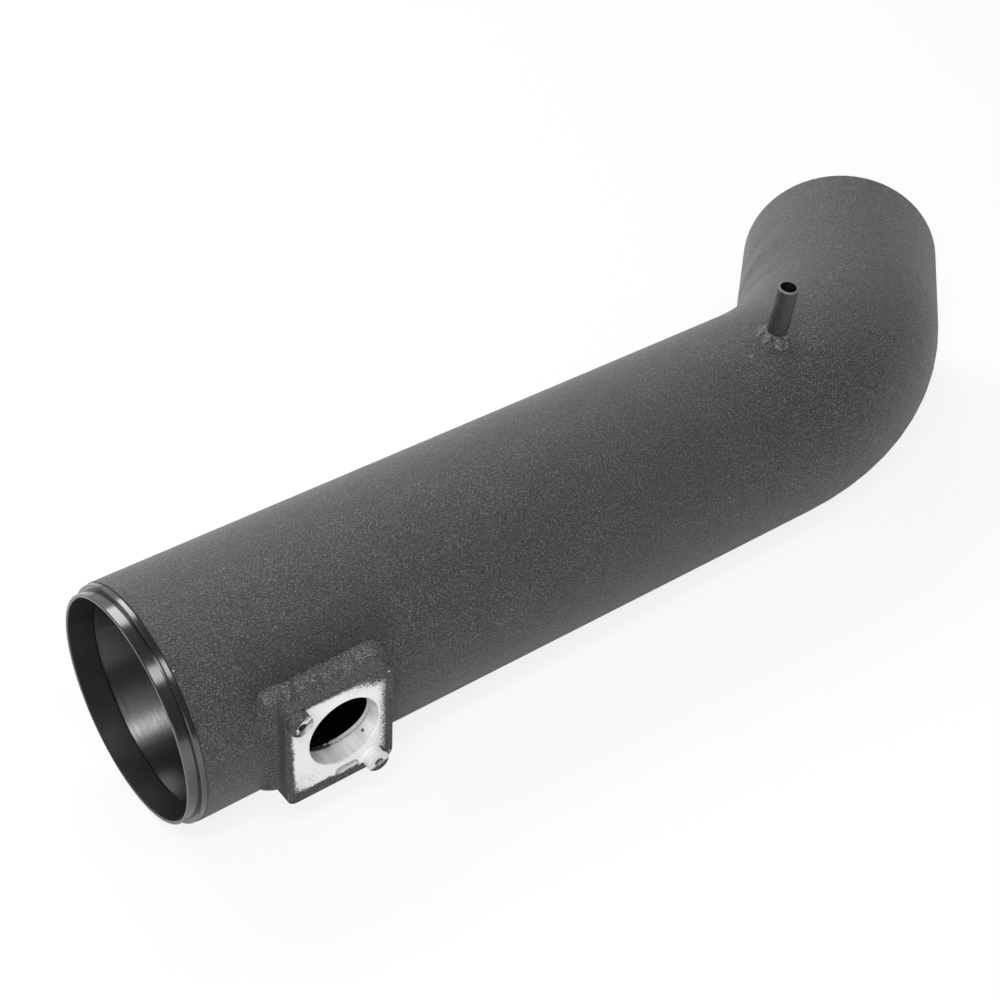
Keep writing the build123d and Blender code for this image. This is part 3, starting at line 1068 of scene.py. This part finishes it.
def nipple_bead():
    """The lumpy weld round the foot of the nipple."""
    rings = []
    for i in range(NIPPLE_STEPS):
        angle = math.tau * i / NIPPLE_STEPS
        dx, dy = math.cos(angle), math.sin(angle)
        around = Vector((dx, dy, 0))
        scale, offset, share = NIPPLE_SWAY
        sway = share * noise.noise(around * scale + offset) * MM
        outer = NIPPLE_RADIUS + NIPPLE_WELD_REACH + NIPPLE_EDGE + sway
        inner = NIPPLE_RADIUS - NIPPLE_OVERLAP
        low = skin_height(dy * outer) - NIPPLE_SINK
        scale, share, drop = NIPPLE_TOP_SWAY
        high = TUBE_RADIUS + NIPPLE_WELD_RISE + (share * noise.noise(around * scale) + drop) * MM
        pull_r = (outer + inner) / 2 + NIPPLE_PULL
        pull_h = (low + high) / 2 + NIPPLE_PULL
        ring = []
        for k in range(SECTION_STEPS + 1):
            t = k / SECTION_STEPS
            r = arc(t, outer, pull_r, inner)
            h = arc(t, low, pull_h, high)
            lift = nipple_lift(Vector((dx * r, dy * r, h)), angle, t)
            r += lift * NIPPLE_LIFT[0]
            h += lift * NIPPLE_LIFT[1]
            ring.append(nipple_frame @ Vector((dx * r, dy * r, h)))
        foot = skin_height(dy * inner) - NIPPLE_ROOT
        ring.append(nipple_frame @ Vector((dx * inner, dy * inner, foot)))
        rings.append(ring)
    return closed_mesh("nipple_bead", rings, nipple_weld_material())


def dress(node, material):
    for held in nodes[node].material_slots:
        held.material = material


def make_floor():
    """A pale floor under the tube, which the camera sees nearly white."""
    mesh = bpy.data.meshes.new("studio_floor")
    z = -TUBE_RADIUS
    ends = ((-1, -1), (1, -1), (1, 1), (-1, 1))
    corners = [(FLOOR_SIZE * x, FLOOR_SIZE * y, z) for x, y in ends]
    mesh.from_pydata(corners, [], [(0, 1, 2, 3)])
    floor = bpy.data.objects.new("studio_floor", mesh)
    bpy.context.scene.collection.objects.link(floor)
    g = Graph("floor_white")
    diffuse = g.node("ShaderNodeBsdfDiffuse")
    diffuse.inputs["Color"].default_value = FLOOR_COLOUR
    plain = g.node("ShaderNodeEmission")
    plain.inputs["Strength"].default_value = 1.0
    mixed = g.node("ShaderNodeMixShader")
    seen = g.node("ShaderNodeLightPath").outputs["Is Camera Ray"]
    g.put(g.product(seen, FLOOR_GLOW), mixed.inputs[0])
    g.tree.links.new(diffuse.outputs[0], mixed.inputs[1])
    g.tree.links.new(plain.outputs[0], mixed.inputs[2])
    g.tree.links.new(mixed.outputs[0], g.output.inputs["Surface"])
    mesh.materials.append(g.material)


def make_world():
    """White all round for the camera; mirrors see the white sweep behind and a darker ceiling."""
    world = bpy.data.worlds.new("studio_world")
    world.use_nodes = True
    tree = world.node_tree
    tree.nodes.clear()
    output = tree.nodes.new("ShaderNodeOutputWorld")
    background = tree.nodes.new("ShaderNodeBackground")
    background.inputs["Color"].default_value = (1, 1, 1, 1)
    path = tree.nodes.new("ShaderNodeLightPath")
    direction = tree.nodes.new("ShaderNodeTexCoord").outputs["Generated"]

    def ranged(value, edges, bottom, top):
        made = tree.nodes.new("ShaderNodeMapRange")
        made.interpolation_type = "SMOOTHSTEP"
        tree.links.new(value, made.inputs["Value"])
        made.inputs["From Min"].default_value = edges[0]
        made.inputs["From Max"].default_value = edges[1]
        made.inputs["To Min"].default_value = bottom
        made.inputs["To Max"].default_value = top
        return made.outputs["Result"]

    def mixed(factor, a, b):
        made = tree.nodes.new("ShaderNodeMix")
        made.data_type = "FLOAT"
        tree.links.new(factor, made.inputs[0])
        for value, socket in ((a, made.inputs[2]), (b, made.inputs[3])):
            if isinstance(value, float):
                socket.default_value = value
            else:
                tree.links.new(value, socket)
        return made.outputs[0]

    def toward(vector):
        made = tree.nodes.new("ShaderNodeVectorMath")
        made.operation = "DOT_PRODUCT"
        tree.links.new(direction, made.inputs[0])
        made.inputs[1].default_value = vector
        return made.outputs["Value"]

    behind = ranged(toward(SWEEP_TOWARD), SWEEP_EDGES, CEILING_LEVEL, SWEEP_LEVEL)
    overhead = ranged(toward((0, 0, 1)), CEILING_EDGES, 0.0, 1.0)
    mirrored = mixed(overhead, behind, CEILING_LEVEL)
    level = mixed(path.outputs["Is Glossy Ray"], WORLD_LEVEL, mirrored)
    level = mixed(path.outputs["Is Transmission Ray"], level, 1.0)
    level = mixed(path.outputs["Is Camera Ray"], level, 1.0)
    tree.links.new(level, background.inputs["Strength"])
    tree.links.new(background.outputs[0], output.inputs["Surface"])
    bpy.context.scene.world = world


def make_lamp(name, place, aim, size, power):
    data = bpy.data.lights.new(name, "AREA")
    data.shape = "RECTANGLE"
    data.size = size[0]
    data.size_y = size[1]
    data.energy = power
    made = bpy.data.objects.new(name, data)
    made.location = place
    made.rotation_euler = (Vector(aim) - Vector(place)).to_track_quat("-Z", "Y").to_euler()
    bpy.context.scene.collection.objects.link(made)


make_camera()
make_world()
make_floor()
for lamp_name, settings in LAMPS.items():
    make_lamp(lamp_name, *settings)

dress("main_tube", tube_material())
dress("inlet_ring", ring_material())
dress("sensor_flange", flange_material())
dress("hose_nipple", nipple_material())
for bead, node in ((flange_bead(), "flange_weld"), (nipple_bead(), "nipple_weld")):
    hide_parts(node)
    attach(bead, "root")

scene = bpy.context.scene
scene.view_settings.view_transform = "Standard"
